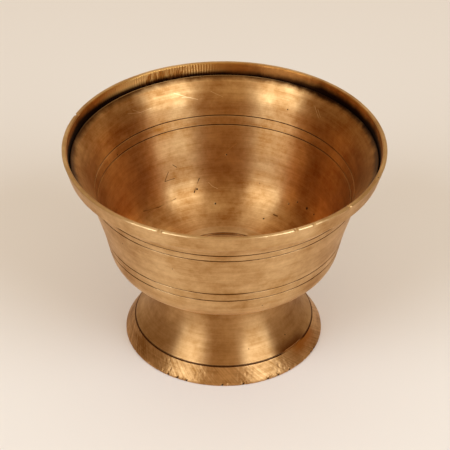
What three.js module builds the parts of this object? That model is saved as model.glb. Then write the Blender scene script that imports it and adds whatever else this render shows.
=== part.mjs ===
// A footed brass shaving bowl, turned and brazed together from separate pieces:
// the bowl with its floor plug, the rim collar, the hollow foot and the base ring.
// Millimetres. +Z is up, the axis of the bowl is Z, and z = 0 is the surface it stands on.
import * as THREE from 'three';

// Overall sizes
const rimRadius = 65;
const totalHeight = 90.9;

// Rim collar: a tapered band round the mouth
const rimFaceWidth = 1.9;
const collarHeight = 7.3;
const collarTaper = 2.1;
const rimChamfer = 0.3;

// Lip of the bowl, inside the collar
const lipInset = 3.9;
const lipDrop = 4.9;
const lipThickness = 0.6;
const lipEdgeHeight = 0.8;
const channelDepth = 1.8;
const channelGap = 0.4;

// Wall of the bowl: a flare under the lip, a straight cone, and a round belly
const flareHeight = 10;
const flareRun = 7.15;
const flareWall = 1.7;
const lipSlope = 1.1;
const collarSeatDrop = 5;
const collarSeatHeight = 2.9;
const collarSeatSlope = 0.79;
const bellyRadius = 50.45;
const bellyRise = 28.5;
const bellyWall = 2.25;
const bellyUnderRise = 0.53;
const bellyUnderHandle = 23.8;
const bellyUpperHandle = 18.8;
const bellyInnerRise = 0.14;
const bellyInnerUnderHandle = 20;
const bellyInnerUpperHandle = 9.8;

// Floor of the bowl and the plug let into it
const floorThickness = 2.6;
const floorFlatWidth = 4.7;
const plugRadius = 21.2;
const plugClearance = 0.1;
const plugRecess = 0.75;
const plugFlangeWidth = 2.4;
const plugFlangeThickness = 2;
const plugFlangeClearance = 1;

// Foot: a hollow pedestal with a concave flare
const footHeight = 30;
const footWall = 3;
const neckStraight = 1.6;
const boreBelowPlug = 3;
const undersideFlat = 1.9;
const footEdgeRadius = 37.06;
const footSeatWidth = 5.56;
const footEdgeHandle = 6;
const neckHandle = 11;

// Base ring, with a spigot that centres it in the foot
const baseFlare = 4.09;
const baseRingHeight = 7;
const baseRingStep = 0.34;
const baseEdgeHeight = 1;
const baseChamfer = 0.35;
const baseRimWidth = 6.65;
const baseBoreHeight = 2.5;
const baseShoulder = 1.5;
const spigotHeight = 2.3;
const spigotWall = 2;
const spigotClearance = 0.2;

// Brazed joints
const baseBrazeThickness = 0.3;
const baseBrazeInset = 0.4;
const neckBrazeLeg = 1.2;
const neckBrazeWaist = 0.36;
const rimBrazeLeg = 0.6;

// Lines turned into the wall, as heights below the lip or above the underside of the bowl
const lineWidth = 0.5;
const lineDepth = 0.25;
const outerLinesBelowLip = [9.9, 13.1];
const outerLinesAboveUnderside = [18.8, 22.8];
const innerLinesBelowLip = [14.5, 18.4];

// Number of flats round the axis, and points along each curve
const flats = 48;
const curvePoints = 7;

// Heights and radii that follow from the sizes above
const lipHeight = totalHeight - lipDrop;
const lipRadius = rimRadius - lipInset;
const lipOuterRadius = lipRadius + lipThickness;
const collarBottom = totalHeight - collarHeight;
const channelFloor = lipHeight - channelDepth;
const flareBottom = lipHeight - flareHeight;
const flareInnerRadius = lipRadius - flareRun;
const flareOuterRadius = flareInnerRadius + flareWall;
const floorTop = footHeight + floorThickness;
const bellyHeight = footHeight + bellyRise;
const neckBore = plugRadius + plugFlangeWidth + plugFlangeClearance;
const neckRadius = neckBore + footWall;
const undersideFlatRadius = neckRadius + undersideFlat;
const footBottom = baseRingHeight + baseBrazeThickness;
const spigotBore = footEdgeRadius - footSeatWidth;
const spigotRadius = spigotBore - spigotClearance;
const baseRadius = footEdgeRadius + baseFlare;
const baseBoreRadius = baseRadius - baseRimWidth;
const footRecessTop = baseRingHeight + spigotHeight + spigotClearance;

function point(radius, height) {
  return new THREE.Vector2(radius, height);
}

// The seat of the collar is a straight cone on the outside of the flare.
const seatTop = point(
  lipOuterRadius - collarSeatSlope * (collarSeatDrop - collarSeatHeight - lipEdgeHeight),
  lipHeight - collarSeatDrop + collarSeatHeight,
);
const seatBottom = point(
  seatTop.x - collarSeatSlope * collarSeatHeight,
  seatTop.y - collarSeatHeight,
);

// The channel between the lip and the collar ends at this corner of the collar.
const channelCorner = point(lipOuterRadius + channelGap, channelFloor);

// Outline points of a curve that leaves and arrives along the given directions.
function curve(start, startDirection, startHandle, end, endDirection, endHandle) {
  const startControl = start.clone().addScaledVector(startDirection.clone().normalize(), startHandle);
  const endControl = end.clone().addScaledVector(endDirection.clone().normalize(), -endHandle);
  return new THREE.CubicBezierCurve(start, startControl, endControl, end).getPoints(curvePoints);
}

// The point where a rising outline crosses a height
function pointAtHeight(outline, height) {
  for (let i = 1; i < outline.length; i += 1) {
    const [low, high] = [outline[i - 1], outline[i]];
    if (height <= high.y) {
      return low.clone().lerp(high, (height - low.y) / (high.y - low.y));
    }
  }
  return outline[outline.length - 1].clone();
}

// Cuts one turned line into a rising outline; the cut goes towards the given side.
function scribe(outline, height, side) {
  const low = pointAtHeight(outline, height - lineWidth / 2);
  const middle = pointAtHeight(outline, height);
  const high = pointAtHeight(outline, height + lineWidth / 2);
  middle.x += side * lineDepth;
  const before = outline.filter((p) => p.y < low.y);
  const after = outline.filter((p) => p.y > high.y);
  return [...before, low, middle, high, ...after];
}

// Turns an outline of radius and height about the Z axis. One that starts on the axis makes
// a solid disc; any other is closed on itself and makes a ring.
function turn(name, outline, material) {
  const profile = outline[0].x === 0 ? outline : [...outline, outline[0].clone()];
  const geometry = new THREE.LatheGeometry(profile, flats);
  geometry.rotateX(Math.PI / 2);
  const mesh = new THREE.Mesh(geometry, material);
  mesh.name = name;
  return mesh;
}

// Old golden-brown brass with a satin, turned surface
function wallBrass() {
  return new THREE.MeshStandardMaterial({ color: '#a8763a', roughness: 0.34, metalness: 1 });
}

// The collar and the foot have been handled more, and are a little lighter
function wornBrass() {
  return new THREE.MeshStandardMaterial({ color: '#b08142', roughness: 0.38, metalness: 1 });
}

// Filed and hammered brass of the base ring
function filedBrass() {
  return new THREE.MeshStandardMaterial({ color: '#9c6c35', roughness: 0.48, metalness: 1 });
}

// Braze metal, tarnished dark in the joints
function darkBraze() {
  return new THREE.MeshStandardMaterial({ color: '#3a2a18', roughness: 0.7, metalness: 0.8 });
}

// The bowl, with a round hole in the middle of its floor
function bowlBody() {
  const bellyTop = point(bellyRadius, bellyHeight);
  const flareOuter = point(flareOuterRadius, flareBottom);
  const outerCone = flareOuter.clone().sub(bellyTop);
  const seatDirection = point(collarSeatSlope, 1);
  const outerFlareHandle = flareOuter.distanceTo(seatBottom) / 3;
  const undersideEdge = point(undersideFlatRadius, footHeight);
  let outer = [
    ...curve(undersideEdge, point(1, bellyUnderRise), bellyUnderHandle,
      bellyTop, outerCone, bellyUpperHandle),
    ...curve(flareOuter, outerCone, outerFlareHandle, seatBottom, seatDirection, outerFlareHandle),
    seatTop,
    point(lipOuterRadius, lipHeight - lipEdgeHeight),
    point(lipOuterRadius, lipHeight),
  ];
  const innerBellyTop = point(bellyRadius - bellyWall, bellyHeight);
  const flareInner = point(flareInnerRadius, flareBottom);
  const innerCone = flareInner.clone().sub(innerBellyTop);
  const lip = point(lipRadius, lipHeight);
  const innerFlareHandle = flareInner.distanceTo(lip) / 3;
  const holeRadius = plugRadius + plugClearance;
  const floorEdge = point(holeRadius + floorFlatWidth, floorTop);
  let inner = [
    ...curve(floorEdge, point(1, bellyInnerRise), bellyInnerUnderHandle,
      innerBellyTop, innerCone, bellyInnerUpperHandle),
    ...curve(flareInner, innerCone, innerFlareHandle, lip, point(lipSlope, 1), innerFlareHandle),
  ];
  for (const drop of outerLinesBelowLip) outer = scribe(outer, lipHeight - drop, -1);
  for (const rise of outerLinesAboveUnderside) outer = scribe(outer, footHeight + rise, -1);
  for (const drop of innerLinesBelowLip) inner = scribe(inner, lipHeight - drop, 1);
  return turn('bowl_body', [
    point(holeRadius, footHeight),
    ...outer,
    ...inner.reverse(),
    point(holeRadius, floorTop),
  ], wallBrass());
}

// The plug closes the hole in the floor. Its flange sits against the underside, inside the neck.
function floorPlug() {
  const flangeRadius = plugRadius + plugFlangeWidth;
  const bottom = footHeight - plugFlangeThickness;
  return turn('floor_plug', [
    point(0, bottom),
    point(flangeRadius, bottom),
    point(flangeRadius, footHeight),
    point(plugRadius, footHeight),
    point(plugRadius, floorTop - plugRecess),
    point(0, floorTop - plugRecess),
  ], wallBrass());
}

// The taper runs from the bottom of the band up to the chamfer of the rim.
function collarOuterRadius(height) {
  const taperTop = totalHeight - rimChamfer;
  return rimRadius - collarTaper * (taperTop - height) / (taperTop - collarBottom);
}

// The collar grips the flare of the bowl on a conical seat and stands up past its lip.
function rimCollar() {
  const rimInner = rimRadius - rimFaceWidth;
  return turn('rim_collar', [
    seatBottom,
    point(collarOuterRadius(collarBottom), collarBottom),
    point(collarOuterRadius(totalHeight - rimChamfer), totalHeight - rimChamfer),
    point(rimRadius - rimChamfer, totalHeight),
    point(rimInner + rimChamfer, totalHeight),
    point(rimInner, totalHeight - rimChamfer),
    channelCorner,
    seatTop,
  ], wornBrass());
}

// A fillet in the bottom of the channel between the lip and the collar
function rimBraze() {
  const floorDirection = channelCorner.clone().sub(seatTop).normalize();
  const wallDirection = point(collarSeatSlope, 1).normalize();
  return turn('rim_braze', [
    seatTop,
    seatTop.clone().addScaledVector(floorDirection, rimBrazeLeg),
    seatTop.clone().addScaledVector(wallDirection, rimBrazeLeg),
  ], darkBraze());
}

// The foot stands on the base ring and carries the underside of the bowl on its neck.
function foot() {
  const neckBottom = point(neckRadius, footHeight - neckStraight);
  const edge = point(footEdgeRadius, footBottom);
  const up = point(0, 1);
  const flare = point(-1, 1);
  const outside = curve(edge, flare, footEdgeHandle, neckBottom, up, neckHandle);
  const recessTop = point(spigotBore, footRecessTop);
  const boreStart = point(neckBore, footHeight - plugFlangeThickness - boreBelowPlug);
  const inside = curve(recessTop, flare, footEdgeHandle, boreStart, up, footEdgeHandle);
  return turn('foot', [
    point(spigotBore, footBottom),
    ...outside,
    point(neckRadius, footHeight),
    point(neckBore, footHeight),
    ...inside.reverse(),
  ], wornBrass());
}

// A fillet in the corner between the neck and the underside of the bowl
function neckBraze() {
  return turn('neck_braze', [
    point(neckRadius, footHeight - neckBrazeLeg),
    point(neckRadius + neckBrazeWaist, footHeight - neckBrazeWaist),
    point(neckRadius + neckBrazeLeg, footHeight),
    point(neckRadius, footHeight),
  ], darkBraze());
}

// The ring that the foot stands on; its underside is the flat face that meets the table.
function baseRing() {
  const spigotInner = spigotRadius - spigotWall;
  return turn('base_ring', [
    point(baseBoreRadius, 0),
    point(baseRadius - baseChamfer, 0),
    point(baseRadius, baseChamfer),
    point(baseRadius, baseEdgeHeight),
    point(footEdgeRadius + baseRingStep, baseRingHeight),
    point(spigotRadius, baseRingHeight),
    point(spigotRadius, baseRingHeight + spigotHeight),
    point(spigotInner, baseRingHeight + spigotHeight),
    point(spigotInner, baseRingHeight - baseShoulder),
    point(baseBoreRadius, baseBoreHeight),
  ], filedBrass());
}

// A thin ring of braze between the foot and the base ring, set back to leave a dark joint line
function baseBraze() {
  return turn('base_braze', [
    point(spigotBore, baseRingHeight),
    point(footEdgeRadius - baseBrazeInset, baseRingHeight),
    point(footEdgeRadius - baseBrazeInset, footBottom),
    point(spigotBore, footBottom),
  ], darkBraze());
}

const shavingBowl = new THREE.Group();
shavingBowl.add(bowlBody());
shavingBowl.add(floorPlug());
shavingBowl.add(rimCollar());
shavingBowl.add(rimBraze());
shavingBowl.add(foot());
shavingBowl.add(neckBraze());
shavingBowl.add(baseRing());
shavingBowl.add(baseBraze());

export default shavingBowl;
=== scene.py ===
import math
import random

import bpy
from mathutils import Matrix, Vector, noise
from mathutils.geometry import interpolate_bezier


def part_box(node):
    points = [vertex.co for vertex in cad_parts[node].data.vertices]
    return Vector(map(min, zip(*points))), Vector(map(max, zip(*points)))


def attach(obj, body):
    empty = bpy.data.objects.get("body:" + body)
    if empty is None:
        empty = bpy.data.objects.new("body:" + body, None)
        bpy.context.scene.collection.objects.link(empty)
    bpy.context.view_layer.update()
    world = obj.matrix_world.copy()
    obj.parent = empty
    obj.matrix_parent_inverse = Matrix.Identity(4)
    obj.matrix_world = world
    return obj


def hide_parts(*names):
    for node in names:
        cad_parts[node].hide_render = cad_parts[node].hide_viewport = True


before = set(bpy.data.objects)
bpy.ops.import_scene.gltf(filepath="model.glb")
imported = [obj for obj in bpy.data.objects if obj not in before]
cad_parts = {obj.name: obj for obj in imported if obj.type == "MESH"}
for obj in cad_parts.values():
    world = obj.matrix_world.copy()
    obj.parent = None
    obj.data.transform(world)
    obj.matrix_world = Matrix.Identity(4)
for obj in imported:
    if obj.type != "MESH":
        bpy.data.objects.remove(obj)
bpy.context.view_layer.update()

mm = 0.001
random.seed(7)

# The CAD nodes that the pieces below are fitted to, as (lowest corner, highest corner)
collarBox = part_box("rim_collar")
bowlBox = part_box("bowl_body")
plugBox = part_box("floor_plug")
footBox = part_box("foot")
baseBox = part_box("base_ring")


def place(radius, height):
    return Vector((radius, 0, height))


# Points of a smooth curve between two points, that leaves and arrives along the given directions
def bend(start, startAim, startHandle, end, endAim, endHandle, count):
    startControl = start + startAim.normalized() * startHandle
    endControl = end - endAim.normalized() * endHandle
    return list(interpolate_bezier(start, startControl, endControl, end, count))


# Each corner is (point, roundness), and a corner with roundness is turned into a short arc. The arc's
# handles stop short of the corner by this share of its roundness.
handleStop = 0.45


def roundCorners(corners, steps=4):
    outline = []
    count = len(corners)
    for index, (corner, roundness) in enumerate(corners):
        if roundness == 0:
            outline.append(corner)
            continue
        towardsLast = (corners[index - 1][0] - corner).normalized() * roundness
        towardsNext = (corners[(index + 1) % count][0] - corner).normalized() * roundness
        arc = interpolate_bezier(corner + towardsLast, corner + towardsLast * handleStop,
                                 corner + towardsNext * handleStop, corner + towardsNext, steps)
        outline.extend(arc)
    return outline


def sharp(points):
    return [(point, 0) for point in points]


def pointAtHeight(outline, height):
    for low, high in zip(outline, outline[1:]):
        if height <= high.z:
            return low.lerp(high, (height - low.z) / (high.z - low.z))
    return outline[-1].copy()


# The point of an outline carried round to an angle: 0 at the front, 90 at the right, 180 at the back
def turned(point, angle):
    around = math.radians(angle)
    return Vector((point.x * math.sin(around), -point.x * math.cos(around), point.z))


# The section of a turned line: across its width and into its depth, as shares of each
lineShape = ((-0.5, 0), (-0.3, 0.5), (-0.12, 1), (0.12, 1), (0.3, 0.5), (0.5, 0))


# One turned line cut into a rising outline; side is +1 outwards or -1 towards the axis
def cutLine(outline, height, width, depth, side):
    cut = []
    for share, sink in lineShape:
        point = pointAtHeight(outline, height + share * width)
        point.x += side * sink * depth
        cut.append(point)
    below = [point for point in outline if point.z < height - 0.5 * width]
    above = [point for point in outline if point.z > height + 0.5 * width]
    return below + cut + above


# Extra points along the straight stretches, so that a surface can be hammered or filed
def fillOutline(outline, spacing):
    filled = []
    for index, point in enumerate(outline):
        after = outline[(index + 1) % len(outline)]
        steps = max(1, math.ceil((after - point).length / spacing))
        filled.extend(point.lerp(after, step / steps) for step in range(steps))
    return filled


mergeWithin = 0.002 * mm  # vertices nearer to each other than this become one


# Turns an outline about Z as on a lathe: a small plane is merged to a point and drawn out along the
# outline, which is then turned
def turnPiece(name, outline, columns, closed=True):
    start = outline[0]
    bpy.ops.object.select_all(action="DESELECT")
    bpy.ops.mesh.primitive_plane_add(size=mm, location=start)
    piece = bpy.context.object
    piece.name = name
    piece.data.name = name
    bpy.ops.object.transform_apply(location=True, rotation=True, scale=True)
    bpy.ops.object.mode_set(mode="EDIT")
    bpy.ops.mesh.select_all(action="SELECT")
    bpy.ops.mesh.merge(type="CENTER")
    route = outline + [start] if closed else outline
    for before, after in zip(route, route[1:]):
        bpy.ops.mesh.extrude_region_move(TRANSFORM_OT_translate={"value": after - before})
    bpy.ops.object.mode_set(mode="OBJECT")
    turning = piece.modifiers.new("turning", "SCREW")
    turning.axis = "Z"
    turning.steps = turning.render_steps = columns
    turning.use_merge_vertices = True
    turning.merge_threshold = mergeWithin
    bpy.ops.object.modifier_apply(modifier="turning")
    bpy.ops.object.mode_set(mode="EDIT")
    bpy.ops.mesh.select_all(action="SELECT")
    bpy.ops.mesh.remove_doubles(threshold=mergeWithin)
    bpy.ops.mesh.normals_make_consistent(inside=False)
    bpy.ops.object.mode_set(mode="OBJECT")
    return piece


# The angle round the bowl, in degrees: 0 at the front, 90 at the right, 180 at the back
def angleOf(point):
    return math.degrees(math.atan2(point.x, -point.y))


# Moves each vertex along its normal by the offset that workAt gives for its angle, radius and height
def workSurface(piece, workAt):
    normals = [vertex.normal.copy() for vertex in piece.data.vertices]
    for vertex, normal in zip(piece.data.vertices, normals):
        radius = math.hypot(vertex.co.x, vertex.co.y)
        vertex.co += normal * workAt(angleOf(vertex.co), radius, vertex.co.z)


def finishPiece(piece, node, material, sharpAngle=35):
    bpy.ops.object.select_all(action="DESELECT")
    piece.select_set(True)
    bpy.context.view_layer.objects.active = piece
    bpy.ops.object.shade_smooth_by_angle(angle=math.radians(sharpAngle))
    piece.data.materials.append(material)
    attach(piece, "root")
    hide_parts(node)
    print("made", piece.name, len(piece.data.polygons), "faces")


def linear(hexColour):
    channels = [int(hexColour[i:i + 2], 16) / 255 for i in (1, 3, 5)]
    return [c / 12.92 if c <= 0.04045 else ((c + 0.055) / 1.055) ** 2.4 for c in channels] + [1]


# Adds one node with its settings, and links each named input that is given a socket or a node
def addNode(tree, kind, settings=None, **inputs):
    node = tree.nodes.new(kind)
    for name, value in (settings or {}).items():
        setattr(node, name, value)
    for name, value in inputs.items():
        key = int(name[1:]) if name[0] == "i" and name[1:].isdigit() else name.replace("_", " ")
        if isinstance(value, bpy.types.Node):
            value = value.outputs[0]
        if isinstance(value, bpy.types.NodeSocket):
            tree.links.new(value, node.inputs[key])
        else:
            node.inputs[key].default_value = value
    return node


# Old brass, cast, turned on a lathe and worn satin: golden brown, with fine rings round the axis that draw
# the highlights out across them, brown patina in blotches, and dark specks where the casting has pores.
# lean is +1 where radius and height grow together along the surface, and -1 where one falls as the other
# grows. What look holds is in brass, below the function.
def agedBrass(name, look):
    material = bpy.data.materials.new(name)
    material.use_nodes = True
    tree = material.node_tree
    tree.nodes.clear()
    spot = addNode(tree, "ShaderNodeTexCoord").outputs["Object"]
    x, y, z = addNode(tree, "ShaderNodeSeparateXYZ", Vector=spot).outputs
    flatSpot = addNode(tree, "ShaderNodeCombineXYZ", X=x, Y=y)
    outwards = addNode(tree, "ShaderNodeVectorMath", {"operation": "NORMALIZE"}, i0=flatSpot)
    radius = addNode(tree, "ShaderNodeVectorMath", {"operation": "LENGTH"}, i0=flatSpot).outputs["Value"]
    along = addNode(tree, "ShaderNodeMath", {"operation": "MULTIPLY_ADD"}, i0=radius, i1=look["lean"], i2=z)
    faceNormal = addNode(tree, "ShaderNodeNewGeometry").outputs["True Normal"]
    # The inside is every face that looks more than slightly towards the axis
    facing = addNode(tree, "ShaderNodeVectorMath", {"operation": "DOT_PRODUCT"}, i0=outwards, i1=faceNormal)
    inside = addNode(tree, "ShaderNodeMath", {"operation": "LESS_THAN"}, i0=facing.outputs["Value"], i1=-0.05)

    # Turning rings, a fine set and a broad set, each broken up round the bowl
    ringSpot = addNode(tree, "ShaderNodeCombineXYZ", X=x, Y=y, Z=along)
    fineScale = (1 / look["ringRun"], 1 / look["ringRun"], 1 / look["ringPitch"])
    broadScale = (1 / look["broadRun"], 1 / look["broadRun"], 1 / look["broadPitch"])
    fineSpot = addNode(tree, "ShaderNodeMapping", Vector=ringSpot, Scale=fineScale)
    rings = addNode(tree, "ShaderNodeTexNoise", Vector=fineSpot, Scale=1, Detail=3, Roughness=0.65)
    broadSpot = addNode(tree, "ShaderNodeMapping", Vector=ringSpot, Scale=broadScale)
    broadRings = addNode(tree, "ShaderNodeTexNoise", Vector=broadSpot, Scale=1, Detail=3, Roughness=0.6)

    # Patina in blotches and fine mottling: tone runs from patina at 0 to bare brass at 1
    blotches = addNode(tree, "ShaderNodeTexNoise", Vector=spot, Scale=1 / look["blotchSize"],
                       Detail=6, Roughness=0.66)
    mottle = addNode(tree, "ShaderNodeTexNoise", Vector=spot, Scale=1 / look["mottleSize"],
                     Detail=4, Roughness=0.7)
    tone = 0
    for pattern, share in zip((blotches, broadRings, rings, mottle), look["toneShares"]):
        tone = addNode(tree, "ShaderNodeMath", {"operation": "MULTIPLY_ADD"}, i0=pattern, i1=share, i2=tone)
    # File strokes lie across a ring at a slant: the direction from the axis is turned a little with height
    if "strokeTurn" in look:
        turn = addNode(tree, "ShaderNodeMath", {"operation": "MULTIPLY"}, i0=z, i1=look["strokeTurn"])
        strokeSpot = addNode(tree, "ShaderNodeVectorRotate", {"rotation_type": "Z_AXIS"},
                             Vector=outwards, Angle=turn)
        strokes = addNode(tree, "ShaderNodeTexNoise", Vector=strokeSpot, Scale=look["strokeScale"], Detail=2)
        strokes = addNode(tree, "ShaderNodeMath", {"operation": "SUBTRACT"}, i0=strokes, i1=0.5)
        tone = addNode(tree, "ShaderNodeMath", {"operation": "MULTIPLY_ADD"},
                       i0=strokes, i1=look["strokeShare"], i2=tone)
    darkest, brightest = look["toneRange"]
    tone = addNode(tree, "ShaderNodeMapRange", {"clamp": True}, Value=tone,
                   From_Min=darkest, From_Max=brightest)
    outer = addNode(tree, "ShaderNodeMix", {"data_type": "RGBA"}, Factor=tone,
                    i6=linear(look["patina"]), i7=linear(look["brass"])).outputs[2]
    inner = addNode(tree, "ShaderNodeMix", {"data_type": "RGBA"}, Factor=tone,
                    i6=linear(look["innerPatina"]), i7=linear(look["innerBrass"])).outputs[2]
    colour = addNode(tree, "ShaderNodeMix", {"data_type": "RGBA"}, Factor=inside,
                     i6=outer, i7=inner).outputs[2]

    # How far a point lies inside a sector round the bowl: an angle, a half width and a soft edge, in degrees
    def sectorShare(angle, spread, soft):
        aim = (math.sin(math.radians(angle)), -math.cos(math.radians(angle)), 0)
        near = addNode(tree, "ShaderNodeVectorMath", {"operation": "DOT_PRODUCT"}, i0=outwards, i1=aim)
        return addNode(tree, "ShaderNodeMapRange", {"clamp": True}, Value=near.outputs["Value"],
                       From_Min=math.cos(math.radians(spread + soft)),
                       From_Max=math.cos(math.radians(spread)))

    # Painted shade: each of these darkens a sector of the inside by multiplying its colour
    for angle, spread, soft, insideShade in look.get("insideShades", ()):
        share = addNode(tree, "ShaderNodeMath", {"operation": "MULTIPLY"},
                        i0=sectorShare(angle, spread, soft), i1=inside)
        colour = addNode(tree, "ShaderNodeMix", {"data_type": "RGBA", "blend_type": "MULTIPLY"},
                         Factor=share, i6=colour, i7=linear(insideShade)).outputs[2]

    # Bands round the bowl, in turned lines and corners and on worn edges, and bands of painted shade and
    # painted
    # highlight. Each is (line, reach, fade, side, wobble, colour): full within reach of the line, gone at
    # fade, and wandering by wobble. It may end with a sector, and whether it shows within or outside that.
    # Tarnish is dull, so bands and dents of the dark colour, which paints tarnish and also shade, gather into
    # one mask of tarnish and painted shade.
    grimeAndShade = 0
    profileSpot = addNode(tree, "ShaderNodeCombineXYZ", X=radius, Y=z)
    for line, reach, fade, side, wobble, bandColour, *sector in look.get("bands", ()):
        gap = addNode(tree, "ShaderNodeVectorMath", {"operation": "DISTANCE"}, i0=profileSpot,
                      i1=(line.x, line.z, 0)).outputs["Value"]
        gap = addNode(tree, "ShaderNodeMath", {"operation": "MULTIPLY_ADD"}, i0=blotches, i1=wobble, i2=gap)
        start = 0.5 * wobble + reach
        band = addNode(tree, "ShaderNodeMapRange", {"clamp": True}, Value=gap,
                       From_Min=start, From_Max=start + fade - reach, To_Min=1, To_Max=0)
        if side == "inside":
            band = addNode(tree, "ShaderNodeMath", {"operation": "MULTIPLY"}, i0=band, i1=inside)
        if sector:
            share = sectorShare(*sector[:3])
            if sector[3] == "outside":
                share = addNode(tree, "ShaderNodeMath", {"operation": "SUBTRACT"}, i0=1, i1=share)
            band = addNode(tree, "ShaderNodeMath", {"operation": "MULTIPLY"}, i0=band, i1=share)
        if bandColour == look["tarnishAndShade"]:
            grimeAndShade = addNode(tree, "ShaderNodeMath", {"operation": "MAXIMUM"}, i0=band, i1=grimeAndShade)
        colour = addNode(tree, "ShaderNodeMix", {"data_type": "RGBA"}, Factor=band,
                         i6=colour, i7=linear(bandColour)).outputs[2]

    # Pores: a speck about 0.5 mm across, drawn coarse so that it shows, in a few of the cells
    pores = addNode(tree, "ShaderNodeTexVoronoi", Vector=spot, Scale=1 / look["poreCell"])
    chosen = addNode(tree, "ShaderNodeSeparateColor", Color=pores.outputs["Color"])
    picked = addNode(tree, "ShaderNodeMath", {"operation": "LESS_THAN"}, i0=chosen, i1=look["poreShare"])
    poreMask = addNode(tree, "ShaderNodeMapRange", {"clamp": True}, Value=pores.outputs["Distance"],
                       From_Min=look["poreCore"], From_Max=look["poreEdge"], To_Min=1, To_Max=0)
    dents = addNode(tree, "ShaderNodeMath", {"operation": "MULTIPLY"}, i0=picked, i1=poreMask)

    # Dents and scratches made in use: each a short stroke from one point to another, full over half its width
    for start, end, width, markColour in look.get("marks", ()):
        stroke = end - start
        share = 0
        if stroke.length > 0:
            fromStart = addNode(tree, "ShaderNodeVectorMath", {"operation": "SUBTRACT"}, i0=spot, i1=start)
            share = addNode(tree, "ShaderNodeVectorMath", {"operation": "DOT_PRODUCT"}, i0=fromStart,
                            i1=stroke / stroke.length_squared).outputs["Value"]
            share = addNode(tree, "ShaderNodeClamp", Value=share)
        step = addNode(tree, "ShaderNodeVectorMath", {"operation": "SCALE"}, i0=stroke, Scale=share)
        nearest = addNode(tree, "ShaderNodeVectorMath", {"operation": "ADD"}, i0=step, i1=start)
        gap = addNode(tree, "ShaderNodeVectorMath", {"operation": "DISTANCE"}, i0=spot, i1=nearest)
        mark = addNode(tree, "ShaderNodeMapRange", {"clamp": True}, Value=gap.outputs["Value"],
                       From_Min=0.25 * width, From_Max=0.6 * width, To_Min=1, To_Max=0)
        if markColour == look["tarnishAndShade"]:
            dents = addNode(tree, "ShaderNodeMath", {"operation": "MAXIMUM"}, i0=dents, i1=mark)
        else:
            colour = addNode(tree, "ShaderNodeMix", {"data_type": "RGBA"}, Factor=mark,
                             i6=colour, i7=linear(markColour)).outputs[2]
    colour = addNode(tree, "ShaderNodeMix", {"data_type": "RGBA"}, Factor=dents,
                     i6=colour, i7=linear(look["tarnishAndShade"])).outputs[2]

    grimeAndShade = addNode(tree, "ShaderNodeMath", {"operation": "MAXIMUM"}, i0=dents, i1=grimeAndShade)

    # Relief under 0.1 mm, too fine for the mesh: rings, slow waves and dents
    relief = 0
    depths = ((rings, look["ringDepth"]), (broadRings, look["ringDepth"] * 2),
              (blotches, look["waveDepth"]), (dents, -look["dentDepth"]))
    for pattern, depth in depths:
        relief = addNode(tree, "ShaderNodeMath", {"operation": "MULTIPLY_ADD"},
                         i0=pattern, i1=depth, i2=relief)
    bump = addNode(tree, "ShaderNodeBump", Height=relief, Distance=1, Strength=1)

    roughness = addNode(tree, "ShaderNodeMapRange", {"clamp": True}, Value=tone,
                        To_Min=look["roughness"] + look["patinaDulls"],
                        To_Max=look["roughness"] - look["rubbingShines"])
    roughness = addNode(tree, "ShaderNodeMath", {"operation": "MULTIPLY_ADD"},
                        i0=grimeAndShade, i1=look["grimeAndShadeDulls"], i2=roughness)
    # The grain runs round the axis, and a quarter turn spreads the highlights across it
    around = addNode(tree, "ShaderNodeVectorMath", {"operation": "CROSS_PRODUCT"}, i0=(0, 0, 1), i1=spot)
    shader = addNode(tree, "ShaderNodeBsdfPrincipled", Base_Color=colour, Metallic=1, Roughness=roughness,
                     Normal=bump, Tangent=around, Anisotropic=look["grain"], Anisotropic_Rotation=0.25)
    addNode(tree, "ShaderNodeOutputMaterial", Surface=shader)
    return material


brass = {
    "brass": "#e0b57e", "patina": "#b48248", "innerBrass": "#dcad72", "innerPatina": "#a6692b",
    # The dark colour below paints pores, dents and tarnish, and also painted shade in the collar's channel
    "tarnishAndShade": "#241107", "lean": 1,
    "ringPitch": 0.5 * mm,  # drawn coarser than the marks of a lathe tool, so that the rings show
    "ringRun": 22 * mm, "broadPitch": 3.5 * mm, "broadRun": 30 * mm,
    "blotchSize": 12 * mm, "mottleSize": 1.8 * mm,
    "toneShares": (0.5, 0.22, 0.14, 0.14),  # of blotches, broad rings, fine rings and mottling
    "toneRange": (0.385, 0.615),
    "poreCell": 5 * mm, "poreShare": 0.12, "poreCore": 0.03, "poreEdge": 0.075,  # radii as shares of a cell
    "ringDepth": 0.003 * mm, "waveDepth": 0.015 * mm, "dentDepth": 0.08 * mm,
    "roughness": 0.36, "patinaDulls": 0.06, "rubbingShines": 0.03, "grimeAndShadeDulls": 0.3, "grain": 0.95,
}

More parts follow.
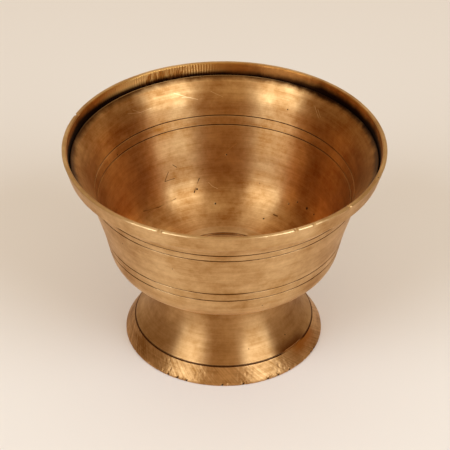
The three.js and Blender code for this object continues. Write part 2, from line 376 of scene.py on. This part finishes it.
# The bowl
bowl = {
    "lipWidth": 0.6 * mm, "lipEdge": 0.8 * mm, "columns": 384,
    "flareDrop": 10 * mm, "flareRun": 7.15 * mm, "flareWall": 1.7 * mm, "lipSlope": 1.1,
    "seatDrop": 5 * mm, "seatHeight": 2.9 * mm, "seatSlope": 0.79,
    "bellyRadius": 50.45 * mm, "bellyRise": 28.5 * mm, "bellyWall": 2.25 * mm,
    "undersideSlope": 0.53, "undersideHandle": 23.8 * mm, "bellyHandle": 18.8 * mm,
    "floorSlope": 0.14, "floorHandle": 20 * mm, "innerBellyHandle": 9.8 * mm,
    "undersideFlat": 1.9 * mm, "footWall": 3 * mm, "flangeGap": 1 * mm,
    "floorThickness": 2.6 * mm, "floorFlat": 4.7 * mm, "holeGap": 0.1 * mm, "flangeWidth": 2.4 * mm,
    "lineWidth": 0.6 * mm, "lineDepth": 0.28 * mm, "lipRound": 0.15 * mm, "holeRound": 0.2 * mm,
    "outerDrops": (9.9 * mm, 13.1 * mm), "outerRises": (18.8 * mm, 22.8 * mm),
    "innerDrops": (14.5 * mm, 18.4 * mm),
    "lineBand": (0.15 * mm, 0.34 * mm, "both", 0.1 * mm, "#42200c"),
    "holeBand": (0.1 * mm, 0.4 * mm, "both", 0.5 * mm, "#5e3a1c"),
    # Round the lip: painted shade with tarnish in the channel, a pale worn edge with a painted highlight at
    # the back, and deeper painted shade at the back right
    "lipShadeAndHighlights": [
        (0.4 * mm, 2.6 * mm, "both", 4 * mm, "#5e3c1c"),
        (0.15 * mm, 0.4 * mm, "both", 0, "#b9915e", 180, 50, 25, "within"),
        (0.2 * mm, 1.5 * mm, "both", 5 * mm, "#341c0c", 130, 20, 18, "within"),
    ],
    "lipBandOffset": 0.3 * mm,
    # Painted shade: the inside of the right wall, darkened by multiplying its colour
    "insideShade": (95, 25, 30, "#dfcfb4"),  # a sector of the inside, and what its colour is multiplied by
}
lipOuter = bowlBox[1][0]
lipTop = bowlBox[1][2]
underside = bowlBox[0][2]
lipInner = lipOuter - bowl["lipWidth"]
floorTop = underside + bowl["floorThickness"]
plugRadius = plugBox[1][0] - bowl["flangeWidth"]
holeRadius = plugRadius + bowl["holeGap"]
neckRadius = plugBox[1][0] + bowl["flangeGap"] + bowl["footWall"]
seatTop = place(lipOuter - bowl["seatSlope"] * (bowl["seatDrop"] - bowl["seatHeight"] - bowl["lipEdge"]),
                lipTop - bowl["seatDrop"] + bowl["seatHeight"])
seatBottom = place(seatTop.x - bowl["seatSlope"] * bowl["seatHeight"], seatTop.z - bowl["seatHeight"])


def bowlOutside():
    bellyTop = place(bowl["bellyRadius"], underside + bowl["bellyRise"])
    flareFoot = place(lipInner - bowl["flareRun"] + bowl["flareWall"], lipTop - bowl["flareDrop"])
    cone = flareFoot - bellyTop
    start = place(neckRadius + bowl["undersideFlat"], underside)
    outline = bend(start, place(1, bowl["undersideSlope"]), bowl["undersideHandle"],
                   bellyTop, cone, bowl["bellyHandle"], count=26)
    handle = (flareFoot - seatBottom).length / 3
    outline += bend(flareFoot, cone, handle, seatBottom, place(bowl["seatSlope"], 1), handle, count=10)
    outline += [seatTop, place(lipOuter, lipTop - bowl["lipEdge"])]
    for drop in bowl["outerDrops"]:
        outline = cutLine(outline, lipTop - drop, bowl["lineWidth"], bowl["lineDepth"], -1)
    for rise in bowl["outerRises"]:
        outline = cutLine(outline, underside + rise, bowl["lineWidth"], bowl["lineDepth"], -1)
    return outline


def bowlInside():
    bellyTop = place(bowl["bellyRadius"] - bowl["bellyWall"], underside + bowl["bellyRise"])
    flareFoot = place(lipInner - bowl["flareRun"], lipTop - bowl["flareDrop"])
    cone = flareFoot - bellyTop
    lip = place(lipInner, lipTop)
    start = place(holeRadius + bowl["floorFlat"], floorTop)
    outline = bend(start, place(1, bowl["floorSlope"]), bowl["floorHandle"],
                   bellyTop, cone, bowl["innerBellyHandle"], count=30)
    handle = (flareFoot - lip).length / 3
    outline += bend(flareFoot, cone, handle, lip, place(bowl["lipSlope"], 1), handle, count=16)
    for drop in bowl["innerDrops"]:
        outline = cutLine(outline, lipTop - drop, bowl["lineWidth"], bowl["lineDepth"], 1)
    return outline


def makeBowl():
    outside = bowlOutside()
    inside = bowlInside()
    corners = sharp(outside)
    corners += [(place(lipOuter, lipTop), bowl["lipRound"]), (inside[-1], bowl["lipRound"])]
    corners += sharp(list(reversed(inside))[1:])
    corners += [(place(holeRadius, floorTop), bowl["holeRound"]), (place(holeRadius, underside), 0)]
    piece = turnPiece("turnedBowl", roundCorners(corners), bowl["columns"])
    heights = [lipTop - drop for drop in bowl["outerDrops"]]
    heights += [underside + rise for rise in bowl["outerRises"]]
    lines = [pointAtHeight(outside, height) for height in heights]
    lines += [pointAtHeight(inside, lipTop - drop) for drop in bowl["innerDrops"]]
    bands = [(line, *bowl["lineBand"]) for line in lines]
    # Painted shade with tarnish round the lip, a painted highlight along its edge at the back, deeper painted
    # shade at the back right
    lip = place(lipInner + bowl["lipBandOffset"], lipTop)
    bands += [(lip, *band) for band in bowl["lipShadeAndHighlights"]]
    bands.append((place(holeRadius, floorTop), *bowl["holeBand"]))
    marks = []
    for stroke in bowlMarks:
        points = stroke["points"]
        for (angle, rise), (nextAngle, nextRise) in zip(points, points[1:] or points):
            start = turned(pointAtHeight(inside, underside + rise * mm), angle)
            end = turned(pointAtHeight(inside, underside + nextRise * mm), nextAngle)
            marks.append((start, end, stroke["width"] * mm, stroke["colour"]))
    look = dict(brass, bands=bands, marks=marks, insideShades=[bowl["insideShade"]])
    finishPiece(piece, "bowl_body", agedBrass("turnedSatinBrass", look))


# Marks on the inside of the bowl: points as (angle in degrees, rise above the underside in mm), width in mm
paleMark, rustMark, brownMark, darkMark = "#e9c48c", "#6e4420", "#4a2c14", brass["tarnishAndShade"]
bowlMarks = [
    {"points": [(-134, 50.5), (-140, 49), (-146, 49)], "width": 0.2, "colour": paleMark},
    {"points": [(-137, 51), (-141, 48.5)], "width": 0.15, "colour": paleMark},
    {"points": [(-158, 52), (-163, 50), (-168, 48.5)], "width": 0.25, "colour": paleMark},
    {"points": [(-161, 50), (-165, 49.5)], "width": 0.2, "colour": paleMark},
    {"points": [(-174, 51), (-179, 49)], "width": 0.2, "colour": paleMark},
    {"points": [(-175, 23), (179, 26.5), (174, 30)], "width": 0.25, "colour": "#cf9a58"},
    {"points": [(-171, 13.5), (-173, 12), (-176, 11)], "width": 0.25, "colour": paleMark},
    {"points": [(139, 52), (137, 50.5), (135, 49)], "width": 0.2, "colour": paleMark},
    {"points": [(137, 51.5), (134, 49.5)], "width": 0.15, "colour": paleMark},
    {"points": [(-149, 21), (-146, 17.5), (-152, 17.5)], "width": 0.3, "colour": brownMark},
    {"points": [(-152, 23.5), (-154, 22)], "width": 0.3, "colour": brownMark},
    {"points": [(-166, 15.5), (-162, 10.5)], "width": 0.4, "colour": darkMark},
    {"points": [(-164, 11.5)], "width": 0.9, "colour": darkMark},
    {"points": [(-150, 10), (-137, 9.5), (-126, 11)], "width": 0.35, "colour": rustMark},
    {"points": [(-174, 6.5)], "width": 0.9, "colour": darkMark},
    {"points": [(179, 25)], "width": 0.6, "colour": darkMark},
    {"points": [(151, 47.5)], "width": 0.6, "colour": darkMark},
    {"points": [(126, 12.5)], "width": 1.3, "colour": darkMark},
    {"points": [(119, 12.5)], "width": 0.8, "colour": darkMark},
    {"points": [(134, 12.5)], "width": 0.7, "colour": darkMark},
    {"points": [(139, 10.5)], "width": 0.7, "colour": darkMark},
    {"points": [(150, 4.5)], "width": 0.8, "colour": darkMark},
    {"points": [(145, 6), (142, 6)], "width": 0.7, "colour": rustMark},
]

makeBowl()


# The plug in the floor
plug = {
    "columns": 192, "edgeRound": 0.2 * mm,
    "edgeBand": (0.2 * mm, 0.6 * mm, "both", 0.5 * mm, "#5e3a1c"),
}


def makePlug():
    low, high = plugBox[0][2], plugBox[1][2]
    flange = plugBox[1][0]
    corners = sharp([place(0, low), place(flange, low),
                     place(flange, underside), place(plugRadius, underside)])
    corners += [(place(plugRadius, high), plug["edgeRound"]), (place(0, high), 0)]
    piece = turnPiece("floorPlugDisc", roundCorners(corners), plug["columns"], closed=False)
    look = dict(brass, bands=[(place(holeRadius, high), *plug["edgeBand"])])
    finishPiece(piece, "floor_plug", agedBrass("tarnishedPlugBrass", look))


makePlug()

# The collar round the rim
collar = {
    "columns": 1440, "faceWidth": 1.9 * mm, "chamfer": 0.3 * mm, "bandHeight": 7.3 * mm, "taper": 2.1 * mm,
    "footRound": 0.35 * mm, "edgeRound": 0.2 * mm, "cornerClear": 0.3 * mm, "wallReach": 0.15 * mm,
    "channelDepth": 1.8 * mm, "channelGap": 0.4 * mm, "spacing": 0.55 * mm,
    "chatterPitch": 1.15 * mm, "chatterDepth": 0.3 * mm, "chatterAngle": -152, "chatterSpread": 50,
    "chatterGrain": 0.8 * mm, "patchSize": 20 * mm, "wander": 0.35, "wanderSize": 6 * mm,
    "rubDepth": 0.08 * mm, "rubReach": 1.2 * mm, "rubSize": 7 * mm, "fineRubSize": 2.5 * mm,
    # Nicks in the top edge: angle and half width in degrees, and depth in mm
    "nicks": [(-110, 0.8, 0.5), (-22, 0.9, 0.3), (25, 0.8, 0.35), (32, 0.7, 0.3), (48, 0.9, 0.35)],
    # Painted shade with tarnish, fading up the inner wall from the channel's corner; deeper at the back right
    # and left
    "channelShadeAndTarnish": [
        (2.2 * mm, 5.6 * mm, "inside", 3 * mm, "#80481c"),
        (1.7 * mm, 4 * mm, "inside", 3 * mm, brass["tarnishAndShade"]),
        (2.8 * mm, 5.4 * mm, "inside", 3 * mm, brass["tarnishAndShade"], 122, 18, 20, "within"),
        (3 * mm, 5.2 * mm, "inside", 3 * mm, brass["tarnishAndShade"], -100, 30, 20, "within"),
    ],
    "channelShadeOffset": 0.3 * mm,
    "seatBand": (1 * mm, 1.4 * mm, "inside", 0, brass["tarnishAndShade"]),
    # A painted highlight: a paler band on the inner wall at the back left, where the wall catches the light
    "litWallHighlight": (1 * mm, 2.6 * mm, "inside", 2 * mm, "#e0ac62", -154, 18, 14, "within"),
    "litWallDrop": 1.6 * mm,
    # Worn top edges with a painted highlight: a pale line along both top edges over the front half
    "outerEdgeWearAndHighlight": (0.1 * mm, 0.5 * mm, "both", 0.4 * mm, "#e6c08a", 0, 90, 30, "within"),
    "innerEdgeWearAndHighlight": (0.1 * mm, 0.4 * mm, "both", 0.4 * mm, "#e6c08a", 0, 90, 30, "within"),
}
rimRadius = collarBox[1][0]
rimTop = collarBox[1][2]
channelCorner = place(lipOuter + collar["channelGap"], lipTop - collar["channelDepth"])


def makeCollar():
    bandFoot = rimTop - collar["bandHeight"]
    inner = rimRadius - collar["faceWidth"]
    corners = [
        (seatBottom, 0),
        (place(rimRadius - collar["taper"], bandFoot), collar["footRound"]),
        (place(rimRadius, rimTop - collar["chamfer"]), 0),
        (place(rimRadius - collar["chamfer"], rimTop), collar["edgeRound"]),
        (place(inner + collar["chamfer"], rimTop), collar["edgeRound"]),
        (place(inner, rimTop - collar["chamfer"]), 0),
        (channelCorner, collar["edgeRound"]),
        (seatTop, 0),
    ]
    outline = fillOutline(roundCorners(corners), collar["spacing"])
    piece = turnPiece("rimCollarBand", outline, collar["columns"])

    # Chatter left by the tool on the inner wall, and a rubbed and nicked top edge
    def wear(angle, radius, height):
        spot = turned(place(radius, height), angle)
        # The inner wall, clear of the channel's corner
        wall = inner - (rimTop - height) * (inner - channelCorner.x) / (rimTop - channelCorner.z)
        if height > channelCorner.z + collar["cornerClear"] and abs(radius - wall) < collar["wallReach"]:
            wander = collar["wander"] * noise.noise(spot / collar["wanderSize"])
            stroke = math.sin(2 * math.pi * (math.radians(angle) * inner / collar["chatterPitch"] + wander))
            chatter = noise.noise(Vector((spot.x, spot.y, 0)) / collar["chatterGrain"])
            offCentre = abs(angle - collar["chatterAngle"]) / collar["chatterSpread"]
            strength = max(0.1, 0.8 + 0.5 * noise.noise(spot / collar["patchSize"]) - offCentre)
            return collar["chatterDepth"] * (min(0, chatter) + stroke - 1) * strength / 2
        if height > rimTop - collar["rubReach"]:
            rub = noise.noise(spot / collar["rubSize"]) + 0.5 * noise.noise(spot / collar["fineRubSize"])
            depth = collar["rubDepth"] * max(0, rub)
            for nickAngle, halfWidth, nickDepth in collar["nicks"]:
                share = abs(angle - nickAngle) / halfWidth
                if share < 1:
                    depth = max(depth, nickDepth * mm * (1 - share * share))
            return -depth
        return 0

    workSurface(piece, wear)
    # Painted shade with tarnish in the channel, and a dark joint at the seat
    channelShadeLine = place(channelCorner.x + collar["channelShadeOffset"], channelCorner.z)
    bands = [(channelShadeLine, *band) for band in collar["channelShadeAndTarnish"]]
    # A painted highlight on the inner wall at the back left, and worn top edges with a painted highlight
    # along the front
    bands += [(seatTop, *collar["seatBand"]),
              (place(inner, rimTop - collar["litWallDrop"]), *collar["litWallHighlight"]),
              (place(rimRadius, rimTop), *collar["outerEdgeWearAndHighlight"]),
              (place(inner, rimTop), *collar["innerEdgeWearAndHighlight"])]
    look = dict(brass, bands=bands, innerBrass="#d0924c", innerPatina="#9c6028")
    finishPiece(piece, "rim_collar", agedBrass("wornCollarBrass", look))


makeCollar()

# The foot
foot = {
    "columns": 384, "straight": 1.6 * mm, "edgeHandle": 6 * mm, "neckHandle": 11 * mm,
    "seatWidth": 5.56 * mm, "recess": 0.2 * mm, "boreBelowPlug": 3 * mm, "edgeRound": 0.25 * mm,
    "stainBand": (1 * mm, 5 * mm, "both", 3 * mm, "#7c4a1e", 50, 8, 10, "within"),
}

# The joint above the base is dark, but braze fills it over one stretch: angle, half width and soft edge
filledStretch = (51, 7, 5)
jointColour = "#502810"
jointBand = (0.15 * mm, 0.35 * mm, "both", 0, jointColour, *filledStretch, "outside")


def makeFoot():
    low, high = footBox[0][2], footBox[1][2]
    edge = place(footBox[1][0], low)
    flare = place(-1, 1)
    up = place(0, 1)
    neckFoot = place(neckRadius, high - foot["straight"])
    outside = bend(edge, flare, foot["edgeHandle"], neckFoot, up, foot["neckHandle"], count=40)
    bore = edge.x - foot["seatWidth"]
    recessTop = place(bore, baseBox[1][2] + foot["recess"])
    boreStart = place(neckRadius - bowl["footWall"], plugBox[0][2] - foot["boreBelowPlug"])
    inside = bend(recessTop, flare, foot["edgeHandle"], boreStart, up, foot["edgeHandle"], count=20)
    corners = [(place(bore, low), 0), (edge, foot["edgeRound"])]
    corners += sharp(outside[1:] + [place(neckRadius, high), place(neckRadius - bowl["footWall"], high)])
    corners += sharp(list(reversed(inside)))
    piece = turnPiece("waistedFoot", roundCorners(corners), foot["columns"])
    bands = [(edge, *foot["stainBand"]), (edge, *jointBand)]
    look = dict(brass, brass="#cc9e68", patina="#a4723c", lean=-1, waveDepth=0.005 * mm, roughness=0.38,
                bands=bands)
    finishPiece(piece, "foot", agedBrass("turnedFootBrass", look))


makeFoot()

# The base ring
base = {
    "columns": 960, "seatStep": 0.34 * mm, "edgeHeight": 1 * mm, "chamfer": 0.35 * mm, "rimWidth": 6.65 * mm,
    "boreHeight": 2.5 * mm, "shoulder": 1.5 * mm, "spigotHeight": 2.3 * mm, "spigotWall": 2 * mm,
    "spigotGap": 0.2 * mm, "boreRound": 0.3 * mm, "edgeRound": 0.4 * mm, "seatRound": 0.35 * mm,
    "spacing": 0.5 * mm, "jointClear": 0.2 * mm, "jointOffset": 0.1 * mm,
    "strokePitch": 1.2 * mm, "strokeLean": 1.1, "strokeDepth": 0.11 * mm, "strokeShare": 0.32,
    "swaySize": 9 * mm, "wobble": 0.5 * mm, "wobbleSize": 3 * mm,
    "dimpleSize": 1.1 * mm, "dimpleShare": 0.8, "topFade": 0.8 * mm, "edgeFade": 1 * mm,
    "burrDepth": 0.2 * mm, "burrReach": 1.2 * mm, "burrHalfWidth": 0.5, "burrs": 30,
    "torn": [-1, 11, 26, 33, 41, 62, 66, -34, -28, -22],  # angles where a burr was bent over
    "tickRise": 0.3 * mm, "tickInset": 0.2 * mm, "tickTurn": 0.8, "tickWidth": 0.6 * mm,
    "stainBand": (2 * mm, 6 * mm, "both", 4 * mm, "#b4702c", 62, 7, 9, "within"),
}
burrAngles = [random.uniform(-180, 180) for burr in range(base["burrs"])] + base["torn"]
baseRadius = baseBox[1][0]
seatHeight = baseBox[1][2] - base["spigotHeight"]


def makeBase():
    spigot = footBox[1][0] - foot["seatWidth"] - base["spigotGap"]
    bore = baseRadius - base["rimWidth"]
    corners = [
        (place(bore, 0), base["boreRound"]),
        (place(baseRadius - base["chamfer"], 0), 0),
        (place(baseRadius, base["chamfer"]), 0),
        (place(baseRadius, base["edgeHeight"]), base["edgeRound"]),
        (place(footBox[1][0] + base["seatStep"], seatHeight), base["seatRound"]),
        (place(spigot, seatHeight), 0),
        (place(spigot, baseBox[1][2]), 0),
        (place(spigot - base["spigotWall"], baseBox[1][2]), 0),
        (place(spigot - base["spigotWall"], seatHeight - base["shoulder"]), 0),
        (place(bore, base["boreHeight"]), 0),
    ]
    outline = fillOutline(roundCorners(corners), base["spacing"])
    piece = turnPiece("filedBaseRing", outline, base["columns"])

    # Slanting file strokes and hammer dimples on the cone, and small notches in the lower edge
    def filing(angle, radius, height):
        if radius < footBox[1][0] + base["jointClear"] or height > seatHeight:
            return 0
        spot = turned(place(radius, height), angle)
        sway = noise.noise(spot / base["swaySize"])
        around = math.radians(angle) * baseRadius + base["wobble"] * noise.noise(spot / base["wobbleSize"])
        strokes = (around + base["strokeLean"] * height) / base["strokePitch"]
        stroke = 0.5 + 0.5 * math.sin(2 * math.pi * strokes)
        dimple = max(0, noise.noise(spot / base["dimpleSize"]))
        fade = min(1, (seatHeight - height) / base["topFade"],
                   max(0, height - base["edgeHeight"]) / base["edgeFade"])
        depth = base["strokeDepth"] * (stroke * max(0.1, 0.7 + sway) + base["dimpleShare"] * dimple) * fade
        if height < base["edgeHeight"] * 1.5 and radius > baseRadius - base["burrReach"]:
            for nickAngle in burrAngles:
                share = abs(angle - nickAngle) / base["burrHalfWidth"]
                if share < 1:
                    depth = max(depth, base["burrDepth"] * (1 - share))
        return -max(0, depth)

    workSurface(piece, filing)
    joint = place(footBox[1][0] + base["jointOffset"], seatHeight)
    bands = [(joint, *base["stainBand"]), (joint, *jointBand)]
    # Torn edge: a dark tick at each bent burr
    marks = []
    for angle in base["torn"]:
        start = turned(place(baseRadius, base["tickRise"]), angle)
        end = turned(place(baseRadius - base["tickInset"], base["edgeHeight"]), angle + base["tickTurn"])
        marks.append((start, end, base["tickWidth"], brass["tarnishAndShade"]))
    look = dict(brass, lean=-1, brass="#d6a56c", patina="#9a672e", roughness=0.4, grain=0.9,
                bands=bands, marks=marks,
                strokeTurn=base["strokeLean"] / baseRadius, strokeScale=baseRadius / base["strokePitch"],
                strokeShare=base["strokeShare"])
    finishPiece(piece, "base_ring", agedBrass("filedBaseBrass", look))


makeBase()

# The brazed seams
seam = {
    "columns": 384, "rimLeg": 0.6 * mm, "neckLeg": 1.2 * mm, "neckWaist": 0.36 * mm, "baseInset": 0.4 * mm,
    "soot": "#2a1a0c", "deepSoot": "#120a05",
    "darkBand": (3 * mm, 4 * mm, "both", 0, jointColour, *filledStretch, "outside"),
}


def makeSeams():
    black = dict(brass, brass=seam["soot"], patina=seam["deepSoot"],
                 innerBrass=seam["soot"], innerPatina=seam["deepSoot"],
                 roughness=0.6, grain=0, ringDepth=0)
    blackBraze = agedBrass("blackenedBraze", black)
    floorAim = (channelCorner - seatTop).normalized()
    wallAim = place(bowl["seatSlope"], 1).normalized()
    rimSeam = turnPiece("rimBrazeSeam", [seatTop, seatTop + floorAim * seam["rimLeg"],
                                         seatTop + wallAim * seam["rimLeg"]], seam["columns"])
    finishPiece(rimSeam, "rim_braze", blackBraze)
    neckSeam = turnPiece("neckBrazeFillet", [
        place(neckRadius, underside - seam["neckLeg"]),
        place(neckRadius + seam["neckWaist"], underside - seam["neckWaist"]),
        place(neckRadius + seam["neckLeg"], underside),
        place(neckRadius, underside),
    ], seam["columns"])
    look = dict(brass, brass="#b08048", patina="#6e4622", lean=-1, roughness=0.45)
    finishPiece(neckSeam, "neck_braze", agedBrass("brownBrazeFillet", look))
    bore = footBox[1][0] - foot["seatWidth"]
    edge = footBox[1][0] - seam["baseInset"]
    baseSeam = turnPiece("baseBrazeSeam", [
        place(bore, seatHeight),
        place(edge, seatHeight),
        place(edge, footBox[0][2]),
        place(bore, footBox[0][2]),
    ], seam["columns"])

    # The braze stands out level with the foot over the filled stretch
    def fill(angle, radius, height):
        middle, halfWidth, soft = filledStretch
        share = (halfWidth + soft - abs(angle - middle)) / soft
        return seam["baseInset"] * min(1, max(0, share)) if radius > bore + seam["baseInset"] else 0

    workSurface(baseSeam, fill)
    bands = [(place(edge, seatHeight), *seam["darkBand"])]
    look = dict(brass, brass="#b07c42", patina="#8a5a2a", roughness=0.5, grain=0.4, bands=bands)
    finishPiece(baseSeam, "base_braze", agedBrass("darkBaseBraze", look))


makeSeams()

# Floor, light and camera
studio = {
    "floorColour": "#ede1d2", "roomFront": "#c1a379", "roomBack": "#dacfba", "roomSides": "#876a47",
    "roomTop": "#e8dac4", "lampColour": "#d4e8ff", "lampAim": (0, 0, 0.05),
    "floorSize": 6, "floorRoughness": 0.9,
    # Where the room turns from front to back, to its sides and to its top, as parts of a direction
    "backFrom": (-0.3, 0.5), "sidesFrom": (0.35, 0.95), "topFrom": (0.65, 0.95),
}


def makeStudio():
    bpy.ops.object.select_all(action="DESELECT")
    bpy.ops.mesh.primitive_plane_add(size=studio["floorSize"], location=(0, 0, 0))
    floor = bpy.context.object
    floor.name = "paleFloor"
    material = bpy.data.materials.new("paleMattPaper")
    material.use_nodes = True
    shader = material.node_tree.nodes["Principled BSDF"]
    shader.inputs["Base Color"].default_value = linear(studio["floorColour"])
    shader.inputs["Roughness"].default_value = studio["floorRoughness"]
    floor.data.materials.append(material)

    world = bpy.data.worlds.new("softRoom")
    world.use_nodes = True
    tree = world.node_tree
    way = addNode(tree, "ShaderNodeTexCoord").outputs["Generated"]
    across, depth, height = addNode(tree, "ShaderNodeSeparateXYZ", Vector=way).outputs
    start, end = studio["backFrom"]
    share = addNode(tree, "ShaderNodeMapRange", {"clamp": True}, Value=depth, From_Min=start, From_Max=end)
    room = addNode(tree, "ShaderNodeMix", {"data_type": "RGBA"}, Factor=share,
                   i6=linear(studio["roomFront"]), i7=linear(studio["roomBack"])).outputs[2]
    offCentre = addNode(tree, "ShaderNodeMath", {"operation": "ABSOLUTE"}, i0=across)
    for reading, limits, colour in ((offCentre, studio["sidesFrom"], studio["roomSides"]),
                                    (height, studio["topFrom"], studio["roomTop"])):
        start, end = limits
        share = addNode(tree, "ShaderNodeMapRange", {"clamp": True}, Value=reading,
                        From_Min=start, From_Max=end)
        room = addNode(tree, "ShaderNodeMix", {"data_type": "RGBA"}, Factor=share,
                       i6=room, i7=linear(colour)).outputs[2]
    tree.links.new(room, tree.nodes["Background"].inputs["Color"])
    bpy.context.scene.world = world
    print("made the floor and the room")


# A square soft lamp, at an angle round the bowl and a height in degrees, aimed at the bowl
def addLamp(name, angle, elevation, distance, size, power):
    lampAngle, lampElevation = math.radians(angle), math.radians(elevation)
    reach = distance * math.cos(lampElevation)
    spot = Vector((reach * math.sin(lampAngle), -reach * math.cos(lampAngle),
                   distance * math.sin(lampElevation)))
    bpy.ops.object.light_add(type="AREA", location=spot)
    lamp = bpy.context.object
    lamp.name = name
    lamp.data.energy = power
    lamp.data.size = size
    lamp.data.color = linear(studio["lampColour"])[:3]
    lamp.rotation_euler = (Vector(studio["lampAim"]) - spot).to_track_quat("-Z", "Y").to_euler()
    print("made", name, power, "W")


# A long lens from 35 degrees above, for a square frame
camera = {
    "lens": 173.9, "sensorWidth": 36, "nearest": 0.05,
    "place": (0.00034, -0.7277, 0.5651), "tilt": 35.21, "roll": 0.3,
}


def makeCamera():
    bpy.ops.object.camera_add(location=camera["place"])
    viewer = bpy.context.object
    viewer.data.lens = camera["lens"]
    viewer.data.sensor_width = camera["sensorWidth"]
    viewer.data.clip_start = camera["nearest"]
    viewer.rotation_euler = (math.radians(90 - camera["tilt"]), 0, 0)
    viewer.rotation_euler.rotate_axis("Z", math.radians(camera["roll"]))
    bpy.context.scene.camera = viewer
    print("made the camera,", camera["lens"], "mm lens")


makeStudio()
addLamp("rightLamp", angle=50, elevation=39, distance=1.3, size=0.75, power=10.9)
addLamp("leftLamp", angle=-48, elevation=39, distance=1.3, size=0.7, power=9.9)
makeCamera()
bpy.context.scene.view_settings.view_transform = "Standard"
